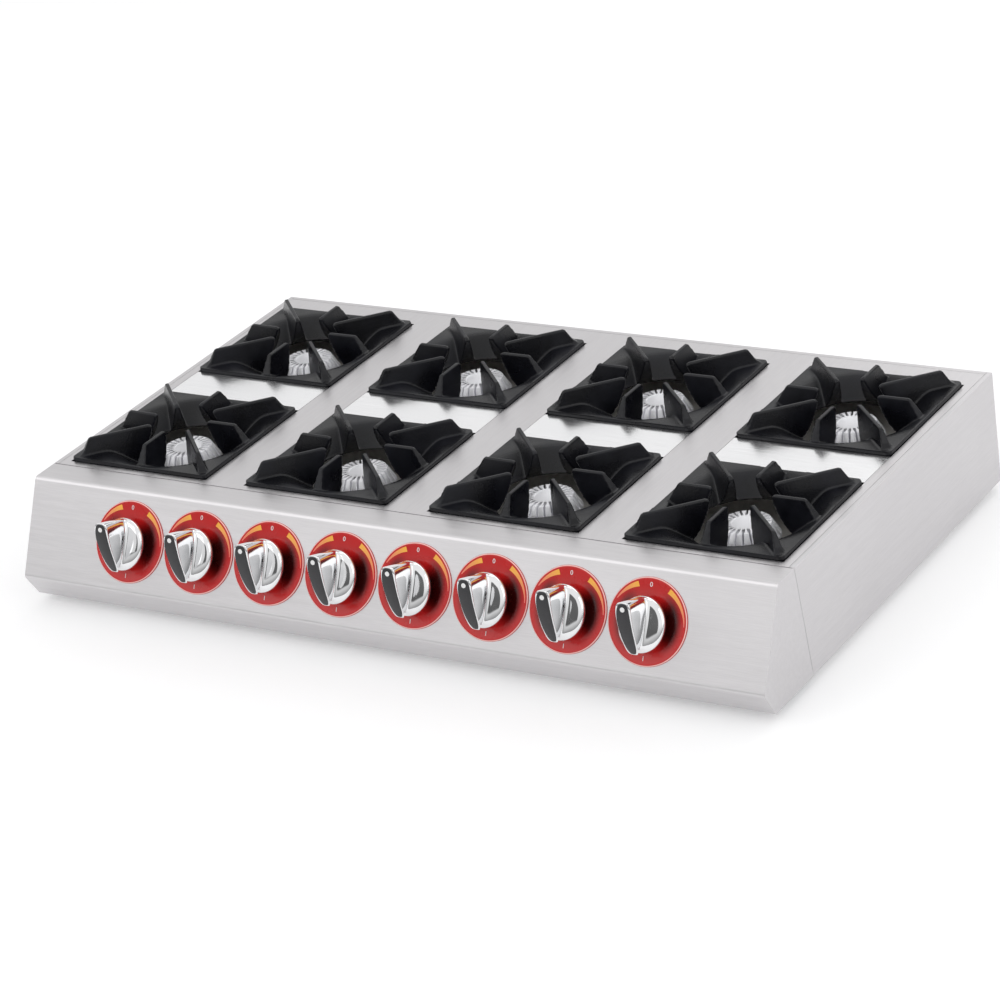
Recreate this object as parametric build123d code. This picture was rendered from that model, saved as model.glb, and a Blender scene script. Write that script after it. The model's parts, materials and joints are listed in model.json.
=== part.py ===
"""Countertop gas stove: eight burners in two rows under square cast-iron grates.

Millimetres, +Z up. X runs along the front, centred on the stove. The floor that
the feet stand on is z = 0. While the pieces are made, y = 0 is the seam between
the top sheet and the front panel; at the end everything shifts so that the
origin is under the middle of the stove.
"""
from build123d import *
import math
import os

# Casing
width = 1000.0                # across the front
top_depth = 518.0             # from the front panel's seam to the back
body_height = 140.0           # underside of the casing to the top sheet
sheet = 1.5                   # stainless sheet
seam_gap = 0.4                # between neighbouring sheets that show
edge_lip = 6.0                # side and back panel edge that shows beside the top sheet
lip_ledge = 12.0              # back panel's joggled ledge under the top sheet
floor_flange = 16.0           # side and back panel flange under the base plate
edge_flange = 12.0            # turned-down edges at the front seam

# Front panel
front_flange = 38.0           # flat top of the front panel
face_run = 55.0               # how far the sloping face comes forward
face_drop = 108.0             # height of the sloping face
chin_back = 20.0              # the chin runs back from the face's lower edge
cheek_rake = 17.0             # the cheek's lower rear corner lies behind its upper one
chin_lip = 26.0               # bottom lip of the front panel
base_start = 0.25             # share of the lip in front of the base plate
lip_screw = 0.7               # share of the lip in front of its screws
top_bend = 6.0
nose_bend = 5.0
chin_bend = 4.0

# Feet
foot_height = 10.0
foot_radius = 20.0
foot_inset_x = 70.0
foot_inset_y = 70.0

# Cooking places
columns = 4
opening = 200.0               # square opening for one grate
side_margin = 17.5            # side of the stove to the outer openings
front_margin = 10.0           # seam to the first opening
strip_width = 68.0            # bridge strip between the front and back grates
ledge_drop = 7.0              # top sheet down to the ledge that carries a grate
ledge_width = 7.0
fit_gap = 0.5                 # round a bridge strip in its opening

# Grate
grate_gap = 1.0               # round a grate in its opening
rim_rise = 5.0                # grate border above the top sheet
rim_wall = 6.0
rim_corner = 5.0
plate = 5.0                   # border's thickness
mouth_radius = 87.0           # inner edge of the bowl's mouth
bead_width = 6.0
bead_rise = 2.0
hole_radius = 63.0            # hole in the bottom of the bowl
bowl_depth = 18.0             # top sheet down to the bowl's lower edge
bowl_wall = 4.5
finger_count = 8
finger_thick = 5.5
finger_rise = 25.0            # top sheet up to the pan rest
finger_tip = 44.0             # tip from the burner's axis
tip_drop = 14.0               # straight part of the finger's tip
tip_bow = 3.0                 # how far the tip's underside bows inward
side_finger_end = 89.0        # where the short fingers' flat top ends
side_finger_foot = 94.0
corner_finger_end = 120.0     # where the long fingers' flat top ends
corner_finger_foot = 131.0

# Burner
tray_drop = 60.0              # top sheet down to the burner tray
tray_flange = 14.0
tray_margin = 15.0            # seam to the tray's front edge
cup_radius = 33.0
cup_wall = 3.0
cup_height = 26.0
cup_flange = 40.0
cup_flange_thick = 3.0
neck_radius = 15.0
neck_clear = 1.0
venturi_drop = 24.0           # tray down to the mixing tube's axis
venturi_radius = 12.0
venturi_bore = 9.5
mouth_flare = 16.0
flare_length = 9.0
venturi_length = 62.0         # burner axis to the mixing tube's mouth
crown_radius = 37.0
crown_top_radius = 27.0
crown_edge = 3.0
crown_height = 20.0
crown_spigot = 5.0
spigot_gap = 0.3
slot_count = 24
slot_width = 2.4
slot_floor = 5.0
slot_inner = 19.0

# Gas train
injector_radius = 5.5
injector_length = 16.0
injector_entry = 5.0          # how far the nozzle reaches into the mixing tube
nozzle_radius = 3.5
tube_radius = 3.0
tube_lead = 5.0               # straight end of a supply tube
manifold_radius = 11.0
manifold_wall = 2.5
manifold_drop = 25.0          # valve axis to manifold axis
manifold_margin = 60.0        # manifold end to the side of the stove
inlet_radius = 10.48          # half-inch pipe thread, over its crests
inlet_length = 22.0           # male thread behind the hexagon
inlet_hex = 15.0              # hexagon's corner radius
inlet_hex_length = 8.0
inlet_stand = 1.0             # back panel to the hexagon
inlet_gap = 1.5
bracket_count = 3
bracket_thick = 3.0
bracket_ring = 5.0
bracket_gap = 0.2             # round the manifold in a bracket's ring
bracket_foot = 18.0

# Valves and knobs, measured along the front panel's outward normal
knob_count = 8
knob_margin = 150.0           # side of the stove to the axis of the outer knobs
valve_radius = 12.0
valve_top = 8.0               # panel face down to the valve's cap
valve_cap = 5.0
valve_length = 36.0
nipple_side = 4.0             # half the side of the square inlet arm
outlet_radius = 6.0
outlet_length = 8.0
plug_radius = 7.5
plug_length = 24.0
plug_gap = 0.08
spindle_radius = 4.0
spindle_flat = 2.6            # spindle axis to its flat
spindle_rise = 24.0           # panel face to the spindle's end
knob_push = 3.0               # how far a knob is pushed in before it turns
flat_lead = 1.0               # spindle's flat below the bore of a pushed knob
knob_hole = 14.0              # radius of the holes for the knobs' necks
bezel_space = 2.0             # between neighbouring discs
bezel_thick = 2.0
bezel_edge = 0.8
knob_radius = 31.0
neck_of_knob = 11.5
knob_neck_foot = 5.0          # panel face to the neck's lower end
knob_disc_foot = 10.0
knob_disc_edge = 8.0
disc_round = 2.0              # rounded edge of the knob's disc
skirt_foot = 18.0             # radius where the skirt leaves the disc
skirt_step = 4.0
skirt_top = 11.0              # radius at the skirt's upper end
skirt_rise = 16.0
blade_thick = 16.0            # at the upper end
blade_tail_thick = 10.0       # at the lower end
blade_height = 63.0           # panel face to the blade's outer edge
blade_nose = 23.0             # knob's axis to the blade's upper end
blade_tail = 36.0             # knob's axis to the blade's lower end
nose_round = 4.0
nose_drop = 3.0
# The blade's outer edge: place along the blade, and how far below its height
blade_crest = [(0.0, 8.0), (-18.0, 22.0)]
tail_drop = 39.0
tail_heel = 32.0              # knob's axis to the foot of the blade's lower end
bore_gap = 0.08
bore_end = 0.8                # spindle end to the bore's end with the knob pushed
insert_depth = 1.6
insert_edge = 1.6             # chrome left on each side of the insert

# Back, base and screws
vent_groups = 4
vent_slots = 5
vent_slot_width = 6.0
vent_slot_height = 40.0
vent_pitch = 14.0
screw_head = 4.0
screw_head_rise = 2.0
screw_shank = 2.0
screw_length = 8.0
side_screws = 3
rear_screws = 4

# Places worked out from the sizes above
bottom_z = foot_height
top_z = foot_height + body_height
half = width / 2
column_pitch = (width - 2 * side_margin - opening) / (columns - 1)
knob_pitch = (width - 2 * knob_margin) / (knob_count - 1)
bezel_radius = (knob_pitch - bezel_space) / 2
bend_y = -front_flange
nose_y = bend_y - face_run
nose_z = top_z - face_drop
chin_y = nose_y + chin_back
face_lean = math.degrees(math.atan2(face_run, face_drop))
face_centre = (bend_y - face_run / 2, top_z - face_drop / 2)
row_pitch = opening + strip_width
column_length = 2 * opening + strip_width
first_row_y = front_margin + opening / 2
ledge_z = top_z - ledge_drop
tray_z = top_z - tray_drop
cup_top = tray_z + cup_height
venturi_z = tray_z - venturi_drop
manifold_end = half - manifold_margin

os.makedirs("parts", exist_ok=True)
pieces = {}


def column_x(column):
    return (column - (columns - 1) / 2) * column_pitch


def row_y(row):
    return first_row_y + row * row_pitch


def knob_x(index):
    return (index - (knob_count - 1) / 2) * knob_pitch


def burner_places():
    """Axis of each burner: the front row from the left, then the back row."""
    return [(column_x(c), row_y(r)) for r in range(2) for c in range(columns)]


def block(x0, x1, y0, y1, z0, z1):
    """A box between two corners."""
    size = Box(x1 - x0, y1 - y0, z1 - z0, align=Align.MIN)
    return Pos(x0, y0, z0) * size


def rod(radius, length):
    """A cylinder that stands on the XY plane."""
    return Cylinder(radius, length, align=(Align.CENTER, Align.CENTER, Align.MIN))


def across(profile, length, start):
    """Extrude a (y, z) profile along X from the given start."""
    return Pos(start, 0, 0) * extrude(Plane.YZ * profile, amount=length)


def outline(points):
    """A flat face inside a closed polygon."""
    return make_face(Polyline(*points, close=True))


def turned(points):
    """A solid turned about Z from an (r, z) polygon."""
    return revolve(Plane.XZ * outline(points), axis=Axis.Z)


def on_face(x):
    """Local frame on the sloping face: X along the stove, Y up the face, Z outward."""
    y, z = face_centre
    normal = (0, -math.cos(math.radians(face_lean)), math.sin(math.radians(face_lean)))
    return Plane(origin=(x, y, z), x_dir=(1, 0, 0), z_dir=normal)


def face_point(x, up, out):
    """Stove coordinates of a point given on the sloping face."""
    return on_face(x).from_local_coords((0, up, out))


# Casing

def front_panel():
    """Folded front: top flange, sloping face, chin and bottom lip, with two cheeks."""
    corners = [(0, top_z), (bend_y, top_z), (nose_y, nose_z), (chin_y, bottom_z)]
    bends = [top_bend, nose_bend, chin_bend]
    fold = [(0, top_z - edge_flange), *corners, (chin_y + chin_lip, bottom_z)]
    path = FilletPolyline(*fold, radius=[sheet, *bends])
    skin = across(make_face(offset(path, amount=sheet, side=Side.LEFT)), width, -half)
    rim = FilletPolyline(*corners, (cheek_rake, bottom_z), radius=bends)
    cheek = make_face([*rim.edges(), Line((cheek_rake, bottom_z), (0, top_z))])
    for start in (-half, half - sheet):
        skin += across(cheek, sheet, start)
    for index in range(knob_count):
        hole = Pos(0, 0, -3 * sheet) * rod(knob_hole, 6 * sheet)
        skin -= on_face(knob_x(index)) * hole
    return skin


def top_panel():
    """Top sheet with one long opening per column, each with a ledge for its grates."""
    edge = edge_lip + seam_gap
    reach = half - edge
    panel = block(-reach, reach, seam_gap, top_depth - edge, top_z - sheet, top_z)
    panel += block(-reach, reach, seam_gap, seam_gap + sheet, top_z - edge_flange, top_z)
    ledge_foot = ledge_z - sheet
    for column in range(columns):
        x = column_x(column)
        x0, x1 = x - opening / 2, x + opening / 2
        y0, y1 = front_margin, front_margin + column_length
        panel += block(x0 - sheet, x1 + sheet, y0 - sheet, y1 + sheet, ledge_foot, top_z)
        panel -= block(x0, x1, y0, y1, ledge_z, top_z)
        lip = ledge_width
        panel -= block(x0 + lip, x1 - lip, y0 + lip, y1 - lip, ledge_foot, ledge_z)
    return panel


def side_panel(side):
    """Side sheet with a lip beside the top sheet, a ledge under it and a floor flange."""
    front_foot = cheek_rake + seam_gap
    corners = [(seam_gap, top_z), (top_depth, top_z)]
    corners += [(top_depth, bottom_z), (front_foot, bottom_z)]
    wall = across(outline(corners), sheet, half - sheet)
    back = top_depth - sheet - seam_gap
    wall += block(half - edge_lip, half, seam_gap, top_depth, top_z - sheet, top_z)
    ledge_x = column_x(columns - 1) + opening / 2 + sheet + seam_gap
    start = cheek_rake
    wall += block(ledge_x, half, start, back, top_z - 2 * sheet, top_z - sheet)
    wall += block(half - floor_flange, half, front_foot, back, bottom_z, bottom_z + sheet)
    return wall if side > 0 else mirror(wall, about=Plane.YZ)


def vent_places():
    """Centres of the vent slots along the back panel."""
    span = width / vent_groups
    middle = (vent_groups - 1) / 2
    centre = (vent_slots - 1) / 2
    groups = [(g - middle) * span for g in range(vent_groups)]
    return [x + (s - centre) * vent_pitch for x in groups for s in range(vent_slots)]


def back_panel():
    """Back sheet with a top lip and ledge, a floor flange, vents and the inlet's hole."""
    reach = half - sheet - seam_gap
    back = top_depth
    wall = block(-reach, reach, back - sheet, back, bottom_z, top_z)
    lip = half - edge_lip - seam_gap
    wall -= block(lip, half, back - sheet, back, top_z - sheet, top_z)
    wall -= block(-half, -lip, back - sheet, back, top_z - sheet, top_z)
    wall += block(-lip, lip, back - edge_lip, back, top_z - sheet, top_z)
    ledge_y = back - edge_lip - lip_ledge
    inner = half - edge_lip - lip_ledge - seam_gap
    wall += block(-inner, inner, ledge_y, back, top_z - 2 * sheet, top_z - sheet)
    flange = half - floor_flange - seam_gap
    wall += block(-flange, flange, back - floor_flange, back, bottom_z, bottom_z + sheet)
    vent_z = (bottom_z + tray_z) / 2
    for x in vent_places():
        cut = Box(vent_slot_width, 4 * sheet, vent_slot_height)
        wall -= Pos(x, back, vent_z) * cut
    hole = Rot(X=-90) * rod(inlet_radius + inlet_gap, 4 * sheet)
    return wall - Pos(inlet_x, back - 2 * sheet, inlet_z) * hole


def base_plate():
    """Bottom sheet that lies on the lips of the panels round it."""
    reach = half - sheet - seam_gap
    y0 = chin_y + chin_lip * base_start
    y1 = top_depth - sheet - seam_gap
    z0 = bottom_z + sheet
    return block(-reach, reach, y0, y1, z0, z0 + sheet)


def burner_tray():
    """Spill tray that carries the burners, with its side edges turned down."""
    reach = half - sheet
    y0, y1 = tray_margin, top_depth - sheet
    tray = block(-reach, reach, y0, y1, tray_z - sheet, tray_z)
    inner = reach - sheet
    tray += block(inner, reach, y0 + tray_margin, y1, tray_z - tray_flange, tray_z)
    tray += block(-reach, -inner, y0 + tray_margin, y1, tray_z - tray_flange, tray_z)
    tray += block(-inner, inner, y1 - sheet, y1, tray_z - tray_flange, tray_z)
    for x, y in burner_places():
        hole = rod(neck_radius + neck_clear, 3 * sheet)
        tray -= Pos(x, y, tray_z - 2 * sheet) * hole
    return tray


def bridge_strip(column):
    """Strip between a column's two openings, with ledges for the grates on both sides."""
    x = column_x(column)
    x0, x1 = x - opening / 2 + fit_gap, x + opening / 2 - fit_gap
    y0 = front_margin + opening
    y1 = y0 + strip_width
    strip = block(x0, x1, y0, y1, ledge_z, top_z)
    strip -= block(x0 + sheet, x1 - sheet, y0 + sheet, y1 - sheet, ledge_z, top_z - sheet)
    inset = ledge_width + fit_gap
    lx0, lx1 = x0 + inset, x1 - inset
    z0 = ledge_z - sheet
    strip += block(lx0, lx1, y0 - ledge_width, y0 + sheet, z0, ledge_z)
    strip += block(lx0, lx1, y1 - sheet, y1 + ledge_width, z0, ledge_z)
    return strip


def feet():
    """Four rubber feet under the base."""
    x = half - foot_inset_x
    foot = rod(foot_radius, foot_height + sheet)
    foot = chamfer(foot.faces().sort_by(Axis.Z)[0].edges(), foot_height / 5)
    rear = top_depth - foot_inset_y
    front = chin_y + foot_inset_y
    return [Pos(sx * x, y, 0) * foot for sx in (-1, 1) for y in (front, rear)]


# Grates

def finger(end, foot):
    """One radial finger, upright in the XZ plane, tip towards the axis."""
    top = finger_rise
    low_tip = (finger_tip, top - tip_drop)
    lower = (hole_radius + bowl_wall / 2, bowl_wall / 2 - bowl_depth)
    bow = ((low_tip[0] + lower[0]) / 2 - tip_bow, (low_tip[1] + lower[1]) / 2)
    wire = Polyline(low_tip, (finger_tip, top), (end, top), (foot, rim_rise / 2), lower)
    tip = ThreePointArc(lower, bow, low_tip)
    face = make_face([*wire.edges(), tip])
    return extrude(Plane.XZ * face, amount=finger_thick / 2, both=True)


def grate():
    """Cast-iron grate about its own axis; z = 0 is the top sheet."""
    side = opening - 2 * grate_gap
    low = -ledge_drop
    square = RectangleRounded(side, side, rim_corner)
    inner = RectangleRounded(side - 2 * rim_wall, side - 2 * rim_wall, rim_corner / 2)
    rim = Pos(0, 0, low) * extrude(square, amount=rim_rise - low)
    under = rim_rise - plate
    rim -= Pos(0, 0, low) * extrude(inner, amount=under - low)
    bead_out = mouth_radius + bead_width
    bead_top = rim_rise + bead_rise
    rim -= Pos(0, 0, low) * rod(bead_out - bead_width / 2, 4 * plate)
    knee = (mouth_radius + hole_radius) / 2
    bend = -bowl_depth / 3
    section = [
        (mouth_radius, bead_top),
        (bead_out - bead_rise, bead_top),
        (bead_out, rim_rise),
        (bead_out, under),
        (knee + bowl_wall, bend - bowl_wall),
        (hole_radius + bowl_wall, -bowl_depth),
        (hole_radius, -bowl_depth),
        (hole_radius, bowl_wall - bowl_depth),
        (knee, bend),
    ]
    casting = rim + turned(section)
    for index in range(finger_count):
        long_one = index % 2 == 1
        end = corner_finger_end if long_one else side_finger_end
        foot = corner_finger_foot if long_one else side_finger_foot
        angle = 360 * index / finger_count
        casting += Rot(Z=angle) * finger(end, foot)
    return casting


# Burners

def burner_body():
    """Cup, neck and mixing tube about the burner's axis; z = 0 is the tray."""
    elbow_foot = -venturi_drop - venturi_radius
    section = [
        (0, elbow_foot),
        (neck_radius, elbow_foot),
        (neck_radius, 0),
        (cup_flange, 0),
        (cup_flange, cup_flange_thick),
        (cup_radius, cup_flange_thick),
        (cup_radius, cup_height),
        (cup_radius - cup_wall, cup_height),
        (cup_radius - cup_wall, cup_flange_thick),
        (0, cup_flange_thick),
    ]
    lying = Pos(0, 0, -venturi_drop) * Rot(X=90)
    flare_foot = venturi_length - flare_length
    body = turned(section) + lying * rod(venturi_radius, flare_foot)
    flare = Cone(venturi_radius, mouth_flare, flare_length)
    body += lying * Pos(0, 0, venturi_length - flare_length / 2) * flare
    body -= lying * rod(venturi_bore, venturi_length)
    return body - Pos(0, 0, -venturi_drop) * rod(venturi_bore, venturi_drop + cup_height)


def burner_crown():
    """Slotted crown that stands on the cup, cut flat between its slots; z = 0 is the cup's rim."""
    foot = RegularPolygon(crown_radius, slot_count)
    top = RegularPolygon(crown_top_radius, slot_count)
    cone = loft([Pos(0, 0, crown_edge) * foot, Pos(0, 0, crown_height) * top], ruled=True)
    crown = extrude(foot, amount=crown_edge) + cone
    spigot = cup_radius - cup_wall - spigot_gap
    crown += Pos(0, 0, -crown_spigot) * rod(spigot, crown_spigot)
    depth = crown_radius - slot_inner
    slot = block(0, depth + 1, -slot_width / 2, slot_width / 2, slot_floor, crown_height + 1)
    turns = [360 * k / slot_count for k in range(slot_count)]
    return crown - [Rot(Z=turn) * Pos(slot_inner, 0, 0) * slot for turn in turns]


# Gas train

manifold_out = -(valve_top + valve_length / 2)
manifold_axis = face_point(0, -manifold_drop, manifold_out)
inlet_x = manifold_end - manifold_radius
inlet_z = manifold_axis.Z


def gas_manifold():
    """Manifold tube across the front with its feed pipe to the threaded inlet."""
    tube = Pos(-manifold_end, 0, 0) * Rot(Y=90) * rod(manifold_radius, 2 * manifold_end)
    bore = rod(manifold_radius - manifold_wall, 2 * (manifold_end - manifold_wall))
    bore = Pos(manifold_wall - manifold_end, 0, 0) * Rot(Y=90) * bore
    tube = Pos(0, manifold_axis.Y, manifold_axis.Z) * tube
    bore = Pos(0, manifold_axis.Y, manifold_axis.Z) * bore
    reach = top_depth + inlet_stand + inlet_hex_length + inlet_length - manifold_axis.Y
    lying = Pos(inlet_x, manifold_axis.Y, inlet_z) * Rot(X=-90)
    feed = rod(inlet_radius, reach)
    nut = extrude(RegularPolygon(inlet_hex, 6), amount=-inlet_hex_length)
    nut = Pos(0, 0, reach - inlet_length) * nut
    pipe = tube + lying * (feed + nut)
    pipe -= bore
    pipe -= lying * rod(inlet_radius - manifold_wall, reach)
    side = nipple_side
    slot = block(-side, side, -manifold_drop, 0, manifold_out - side, manifold_out + side)
    for index in range(knob_count):
        pipe -= on_face(knob_x(index)) * slot
    return pipe


def valve_body():
    """One tap on its local frame: square body with its cap, inlet nipple and outlet nut."""
    cap_foot = -valve_top - valve_cap
    foot = cap_foot - valve_length
    square = Rectangle(2 * valve_radius, 2 * valve_radius)
    body = Pos(0, 0, foot) * extrude(square, amount=valve_length)
    reach = manifold_drop - manifold_radius + manifold_wall
    arm = block(-nipple_side, nipple_side, -reach, 0, -nipple_side, nipple_side)
    body += Pos(0, 0, manifold_out) * arm
    nut = extrude(RegularPolygon(outlet_radius, 6), amount=outlet_length)
    body += Pos(0, 0, foot - outlet_length) * nut
    well = plug_length + plug_gap
    body -= Pos(0, 0, cap_foot - well) * rod(plug_radius + plug_gap, well)
    cap = Pos(0, 0, cap_foot) * extrude(square, amount=valve_cap)
    cap -= Pos(0, 0, cap_foot) * rod(spindle_radius + plug_gap, valve_cap)
    return [body, cap]


def valve_stem():
    """Plug and spindle that the knob turns, on the local frame of the face."""
    top = -valve_top - valve_cap - plug_gap
    low = top - plug_length + plug_gap
    stem = Pos(0, 0, low) * rod(plug_radius, top - low)
    shaft = Pos(0, 0, top) * rod(spindle_radius, spindle_rise - top)
    flat_foot = knob_neck_foot - knob_push - flat_lead
    edge = spindle_radius
    flat = block(-edge, edge, spindle_flat, edge, flat_foot, spindle_rise)
    return stem + (shaft - flat)


def supply_tube(index):
    """Tube from a valve's outlet to the injector of the burner that it feeds."""
    x = knob_x(index)
    burner_x, burner_y = burner_places()[burner_of(index)]
    start_out = -valve_top - valve_cap - valve_length - outlet_length
    start = face_point(x, 0, start_out)
    inward = face_point(x, 0, start_out - 1) - start
    elbow = start + inward * ((venturi_z - start.Z) / inward.Z)
    end = Vector(burner_x, burner_y - venturi_length - injector_length + injector_entry, venturi_z)
    turn = Vector(burner_x, end.Y - tube_lead, venturi_z)
    points = [start, elbow]
    if burner_of(index) >= columns:
        points.append(Vector(x, turn.Y - abs(burner_x - x) / 2, venturi_z))
    points += [turn, end]
    ring = Plane(origin=start, z_dir=inward) * Circle(tube_radius)
    return sweep(ring, path=Polyline(*points), transition=Transition.RIGHT)


def burner_of(index):
    """The burner that a knob feeds: the nearer knob of a pair has the front burner."""
    column = index // 2
    offsets = [abs(knob_x(2 * column + k) - column_x(column)) for k in range(2)]
    near = offsets.index(min(offsets))
    return column if index % 2 == near else column + columns


def injector():
    """Brass injector with its axis along +Y; y = 0 is the mixing tube's mouth."""
    length = injector_length - injector_entry
    hexagon = extrude(RegularPolygon(injector_radius, 6), amount=length)
    nozzle = Pos(0, 0, length) * rod(nozzle_radius, injector_entry)
    return Pos(0, -length, 0) * Rot(X=-90) * (hexagon + nozzle)


def manifold_bracket():
    """Upright with a ring for the manifold and a foot on the base plate; x = 0 midway."""
    base = bottom_z + 2 * sheet
    ring_radius = manifold_radius + bracket_ring
    y, z = manifold_axis.Y, manifold_axis.Z
    wall = block(0, bracket_thick, y - ring_radius, y + ring_radius, base, z)
    wall += Pos(0, y, z) * Rot(Y=90) * rod(ring_radius, bracket_thick)
    wall += block(0, bracket_foot, y - ring_radius, y + ring_radius, base, base + bracket_thick)
    hole = rod(manifold_radius + bracket_gap, 3 * bracket_thick)
    return wall - Pos(-bracket_thick, y, z) * Rot(Y=90) * hole


# Knobs

def knob_bezel():
    """Disc on the panel round a knob, with a rounded-off outer edge."""
    section = [
        (knob_hole, 0),
        (bezel_radius, 0),
        (bezel_radius, bezel_edge),
        (bezel_radius - bezel_thick, bezel_thick),
        (knob_hole, bezel_thick),
    ]
    return turned(section)


def blade_plan(inset):
    """The blade seen from outside, narrower at its lower end, less an inset at its sides."""
    wide = blade_thick / 2 - inset
    slim = blade_tail_thick / 2 - inset
    plan = [(-wide, blade_nose), (wide, blade_nose), (slim, -blade_tail), (-slim, -blade_tail)]
    return outline(plan)


def knob():
    """Round skirt with an upright blade, its bore for the spindle and its grip insert."""
    disc_top = knob_disc_foot + knob_disc_edge
    skirt = [
        (0, knob_disc_foot),
        (knob_radius, knob_disc_foot),
        (knob_radius, disc_top - disc_round),
        (knob_radius - disc_round, disc_top),
        (skirt_foot, disc_top + skirt_step),
        (skirt_top, disc_top + skirt_rise),
        (0, disc_top + skirt_rise),
    ]
    body = turned(skirt)
    body += Pos(0, 0, knob_neck_foot) * rod(neck_of_knob, knob_disc_foot - knob_neck_foot)
    edge = [(blade_nose - nose_round, blade_height)]
    edge += [(y, blade_height - drop) for y, drop in blade_crest]
    side = [(blade_nose, disc_top - disc_round), (blade_nose, blade_height - nose_drop), *edge]
    side += [(-blade_tail, blade_height - tail_drop), (-tail_heel, disc_top - disc_round)]
    blade = extrude(Plane.YZ * outline(side), amount=blade_thick / 2, both=True)
    body += blade & extrude(blade_plan(0), amount=blade_height)
    depth = spindle_rise + knob_push + bore_end - knob_neck_foot
    bore = rod(spindle_radius + bore_gap, depth)
    side_of_bore = spindle_radius + bore_gap
    flat = spindle_flat + bore_gap
    bore -= block(-side_of_bore, side_of_bore, flat, side_of_bore, 0, depth)
    body -= Pos(0, 0, knob_neck_foot) * bore
    groove = [(y, z + insert_depth) for y, z in edge]
    groove += [(y, z - insert_depth) for y, z in reversed(edge)]
    strip = extrude(Plane.YZ * outline(groove), amount=blade_thick / 2, both=True)
    strip &= extrude(blade_plan(insert_edge), amount=2 * blade_height)
    insert = strip & body
    return [body - insert, insert]


# Screws

def screw():
    """Hexagon-head screw with a plain shank; z = 0 under its head."""
    head = extrude(RegularPolygon(screw_head, 6), amount=screw_head_rise)
    return head + extrude(RegularPolygon(screw_shank, 6), amount=-screw_length)


def spread(count, start, end):
    return [start + (end - start) * (k + 0.5) / count for k in range(count)]


def panel_screws():
    """Screws up through the floor flanges into the base plate."""
    upside_down = Pos(0, 0, bottom_z) * Rot(X=180)
    inset = floor_flange / 2
    screws = []
    for y in spread(side_screws, cheek_rake, top_depth - floor_flange):
        for x in (inset - half, half - inset):
            screws.append(Pos(x, y, 0) * upside_down * screw())
    for x in spread(rear_screws, -half, half):
        for y in (top_depth - inset, chin_y + chin_lip * lip_screw):
            screws.append(Pos(x, y, 0) * upside_down * screw())
    return screws


def near(one, other):
    """Whether the boxes of two solids meet."""
    a, b = one.bounding_box(), other.bounding_box()
    low = (max(a.min.X, b.min.X), max(a.min.Y, b.min.Y), max(a.min.Z, b.min.Z))
    high = (min(a.max.X, b.max.X), min(a.max.Y, b.max.Y), min(a.max.Z, b.max.Z))
    return all(high[k] > low[k] for k in range(3))


def add(name, *solids):
    """Keep the solids of one node."""
    pieces[name] = list(solids)


add("front_panel", front_panel())
add("top_panel", top_panel())
add("side_panel_left", side_panel(-1))
add("side_panel_right", side_panel(1))
add("back_panel", back_panel())
add("burner_tray", burner_tray())
for column in range(columns):
    add(f"bridge_strip_{column + 1}", bridge_strip(column))

one_grate = grate()
one_body = burner_body()
one_crown = burner_crown()
for number, (x, y) in enumerate(burner_places(), start=1):
    add(f"grate_{number}", Pos(x, y, top_z) * one_grate)
    add(f"burner_body_{number}", Pos(x, y, tray_z) * one_body)
    add(f"burner_crown_{number}", Pos(x, y, cup_top) * one_crown)

one_knob = knob()
one_stem = valve_stem()
one_valve = valve_body()
one_bezel = knob_bezel()
faces = [on_face(knob_x(index)) for index in range(knob_count)]
for number, place in enumerate(faces, start=1):
    add(f"knob_{number}", *[place * solid for solid in one_knob])
    add(f"valve_stem_{number}", place * one_stem)
add("valve_bodies", *[place * solid for place in faces for solid in one_valve])
add("knob_bezels", *[place * one_bezel for place in faces])
add("gas_manifold", gas_manifold())
add("supply_tubes", *[supply_tube(index) for index in range(knob_count)])
one_injector = injector()
mouths = [Pos(x, y - venturi_length, venturi_z) for x, y in burner_places()]
add("injectors", *[place * one_injector for place in mouths])
one_bracket = manifold_bracket()
stations = spread(bracket_count, -manifold_end, manifold_end - 2 * manifold_radius)
add("manifold_brackets", *[Pos(x, 0, 0) * one_bracket for x in stations])

# Feet and screws pass through the base plate and the flanges that they hold.
foot_group = feet()
screw_group = panel_screws()
floor = base_plate()
for item in screw_group:
    floor -= item
    for name in ("front_panel", "side_panel_left", "side_panel_right", "back_panel"):
        if near(item, pieces[name][0]):
            pieces[name][0] -= item
add("base_plate", floor)
add("feet", *foot_group)
add("panel_screws", *screw_group)

# The origin goes under the middle of the whole stove.
whole = Compound([solid for group in pieces.values() for solid in group]).bounding_box()
centre_y = (whole.min.Y + whole.max.Y) / 2
for name, group in pieces.items():
    moved = [Pos(0, -centre_y, 0) * solid for solid in group]
    shape = moved[0] if len(moved) == 1 else Compound(moved)
    export_step(shape, f"parts/{name}.step")
print("centre_y", round(centre_y, 4), "size", whole.size)
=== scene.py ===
"""Countertop gas stove with eight burners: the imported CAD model, dressed for its picture.

The casing's sheets, the burner bodies and the gas train are the CAD's own nodes
with procedural finishes. The grates, the burner crowns, the lever knobs and the
knob discs are modelled here in fuller form and stand in for their nodes. All
sizes are metres in the frame of the CAD.
"""

import json
import logging
import math
from dataclasses import dataclass
from enum import Enum
from functools import reduce
from typing import Callable, Sequence

import bmesh
import bpy
from mathutils import Matrix, Vector

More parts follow.
